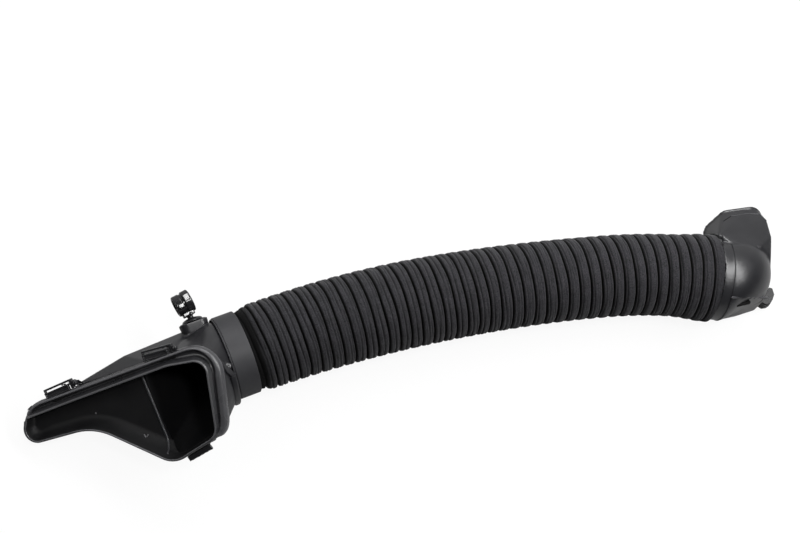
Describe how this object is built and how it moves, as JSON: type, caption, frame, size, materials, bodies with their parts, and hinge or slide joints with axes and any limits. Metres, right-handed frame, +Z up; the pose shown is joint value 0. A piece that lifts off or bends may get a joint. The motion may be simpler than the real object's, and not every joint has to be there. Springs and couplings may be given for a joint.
{
  "type": "air intake hose",
  "caption": "Ribbed fabric air intake hose with an open scoop at one end, an elbow at the other, and a clip for a thin line.",
  "frame": {"origin": "middle of the part's bounding box, on the plane it lies on", "axes": "+X along the hose from the scoop to the elbow, +Z up, with the scoop's mouth facing up and the elbow's outlet facing back and down"},
  "size_m": [0.7777, 0.1704, 0.1155],
  "materials": {
    "moulded_plastic": "satin, charcoal grey",
    "cuff_plastic": "satin, grey",
    "hose_fabric": "matt felted fabric, near black",
    "spring_wire": "drawn spring wire",
    "clip_plastic": "gloss black"
  },
  "bodies": {
    "root": {"intake_scoop": "moulded_plastic", "inlet_cuff": "cuff_plastic", "hose_fabric": "hose_fabric", "hose_wire": "spring_wire", "outlet_elbow": "moulded_plastic", "line_clip": "clip_plastic"}
  },
  "joints": []
}
